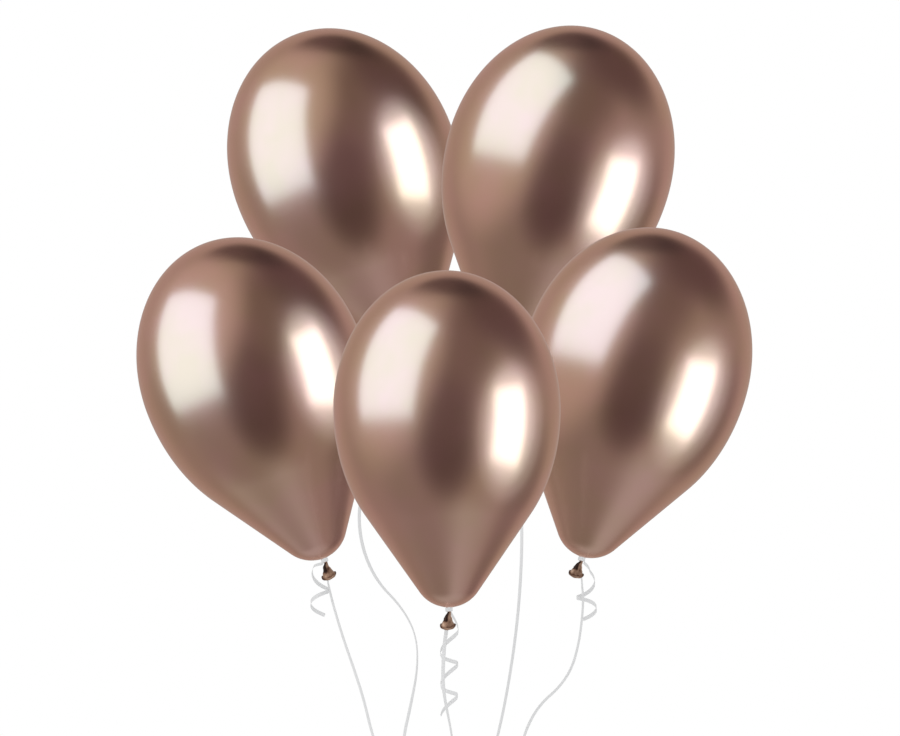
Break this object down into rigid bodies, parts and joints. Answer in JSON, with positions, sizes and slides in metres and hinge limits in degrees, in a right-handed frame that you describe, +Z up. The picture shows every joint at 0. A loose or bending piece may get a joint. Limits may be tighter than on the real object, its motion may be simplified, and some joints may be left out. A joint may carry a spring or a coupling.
{
  "type": "balloon bunch",
  "caption": "Bunch of tied latex balloons with a rose-gold chrome finish on white curling ribbons, held where the ribbons gather.",
  "frame": {"origin": "middle of the knot where the five ribbons gather, by which the bunch is held", "axes": "+Z up towards the balloons, +X to the viewer's right, -Y towards the viewer"},
  "size_m": [0.8287, 0.9031, 1.1911],
  "materials": {
    "chrome_latex": "metallic rose-gold sheen on stretched latex",
    "neck_latex": "unstretched copper-brown latex, folded",
    "ribbon": "white satin curling ribbon with fine lengthwise ribs"
  },
  "bodies": {
    "ribbons": {"gather_knot": "ribbon", "hank_lead": "ribbon", "ribbon_hank": "ribbon", "hank_tie": "ribbon", "streamer_front": "ribbon", "curl_lead_front": "ribbon", "curl_front": "ribbon", "streamer_low_left": "ribbon", "curl_lead_low_left": "ribbon", "curl_low_left": "ribbon", "streamer_low_right": "ribbon", "curl_lead_low_right": "ribbon", "curl_low_right": "ribbon", "streamer_up_left": "ribbon", "curl_lead_up_left": "ribbon", "curl_up_left": "ribbon", "streamer_up_right": "ribbon", "curl_lead_up_right": "ribbon", "curl_up_right": "ribbon"},
    "hitch_front": {"hitch_front": "ribbon"},
    "collar_front": {"collar_front": "ribbon"},
    "balloon_front": {"skin_front": "chrome_latex", "tail_front": "neck_latex", "lip_front": "neck_latex"},
    "hitch_low_left": {"hitch_low_left": "ribbon"},
    "collar_low_left": {"collar_low_left": "ribbon"},
    "balloon_low_left": {"skin_low_left": "chrome_latex", "tail_low_left": "neck_latex", "lip_low_left": "neck_latex"},
    "hitch_low_right": {"hitch_low_right": "ribbon"},
    "collar_low_right": {"collar_low_right": "ribbon"},
    "balloon_low_right": {"skin_low_right": "chrome_latex", "tail_low_right": "neck_latex", "lip_low_right": "neck_latex"},
    "hitch_up_left": {"hitch_up_left": "ribbon"},
    "collar_up_left": {"collar_up_left": "ribbon"},
    "balloon_up_left": {"skin_up_left": "chrome_latex", "tail_up_left": "neck_latex", "lip_up_left": "neck_latex"},
    "hitch_up_right": {"hitch_up_right": "ribbon"},
    "collar_up_right": {"collar_up_right": "ribbon"},
    "balloon_up_right": {"skin_up_right": "chrome_latex", "tail_up_right": "neck_latex", "lip_up_right": "neck_latex"}
  },
  "joints": [
    {"name": "sway_front", "type": "hinge", "parent": "ribbons", "child": "hitch_front", "pos_m": [-0.0013, -0.23, 0.3166], "axis": [0, 1, 0], "range_deg": [-6, 6], "stiffness_Nm_per_rad": 0.024, "springref_deg": 0.35},
    {"name": "nod_front", "type": "hinge", "parent": "hitch_front", "child": "collar_front", "pos_m": [-0.0013, -0.23, 0.3166], "axis": [1, 0, 0], "range_deg": [-2, 10], "stiffness_Nm_per_rad": 0.024},
    {"name": "spin_front", "type": "hinge", "parent": "collar_front", "child": "balloon_front", "pos_m": [-0.0013, -0.23, 0.3166], "axis": [-0.0105, 0, 0.9999], "continuous": true},
    {"name": "sway_low_left", "type": "hinge", "parent": "ribbons", "child": "hitch_low_left", "pos_m": [-0.1687, 0.01, 0.3763], "axis": [0, 1, 0], "range_deg": [-12, 3], "stiffness_Nm_per_rad": 0.024, "springref_deg": 12.59},
    {"name": "nod_low_left", "type": "hinge", "parent": "hitch_low_left", "child": "collar_low_left", "pos_m": [-0.1687, 0.01, 0.3763], "axis": [1, 0, 0], "range_deg": [-3, 3], "stiffness_Nm_per_rad": 0.024},
    {"name": "spin_low_left", "type": "hinge", "parent": "collar_low_left", "child": "balloon_low_left", "pos_m": [-0.1687, 0.01, 0.3763], "axis": [-0.3551, 0, 0.9348], "continuous": true},
    {"name": "sway_low_right", "type": "hinge", "parent": "ribbons", "child": "hitch_low_right", "pos_m": [0.1768, -0.015, 0.3787], "axis": [0, 1, 0], "range_deg": [-3, 12], "stiffness_Nm_per_rad": 0.024, "springref_deg": -9.67},
    {"name": "nod_low_right", "type": "hinge", "parent": "hitch_low_right", "child": "collar_low_right", "pos_m": [0.1768, -0.015, 0.3787], "axis": [1, 0, 0], "range_deg": [-3, 3], "stiffness_Nm_per_rad": 0.024},
    {"name": "spin_low_right", "type": "hinge", "parent": "collar_low_right", "child": "balloon_low_right", "pos_m": [0.1768, -0.015, 0.3787], "axis": [0.2706, 0, 0.9627], "continuous": true},
    {"name": "sway_up_left", "type": "hinge", "parent": "ribbons", "child": "hitch_up_left", "pos_m": [-0.0528, 0.365, 0.6547], "axis": [0, 1, 0], "range_deg": [-12, 1.5], "stiffness_Nm_per_rad": 0.024, "springref_deg": 13.16},
    {"name": "nod_up_left", "type": "hinge", "parent": "hitch_up_left", "child": "collar_up_left", "pos_m": [-0.0528, 0.365, 0.6547], "axis": [1, 0, 0], "range_deg": [-10, 1.5], "stiffness_Nm_per_rad": 0.024},
    {"name": "spin_up_left", "type": "hinge", "parent": "collar_up_left", "child": "balloon_up_left", "pos_m": [-0.0528, 0.365, 0.6547], "axis": [-0.3371, 0, 0.9415], "continuous": true},
    {"name": "sway_up_right", "type": "hinge", "parent": "ribbons", "child": "hitch_up_right", "pos_m": [0.0759, 0.21, 0.6505], "axis": [0, 1, 0], "range_deg": [-1.5, 10], "stiffness_Nm_per_rad": 0.024, "springref_deg": -9.98},
    {"name": "nod_up_right", "type": "hinge", "parent": "hitch_up_right", "child": "collar_up_right", "pos_m": [0.0759, 0.21, 0.6505], "axis": [1, 0, 0], "range_deg": [-2, 2], "stiffness_Nm_per_rad": 0.024},
    {"name": "spin_up_right", "type": "hinge", "parent": "collar_up_right", "child": "balloon_up_right", "pos_m": [0.0759, 0.21, 0.6505], "axis": [0.2656, 0, 0.9641], "continuous": true}
  ]
}
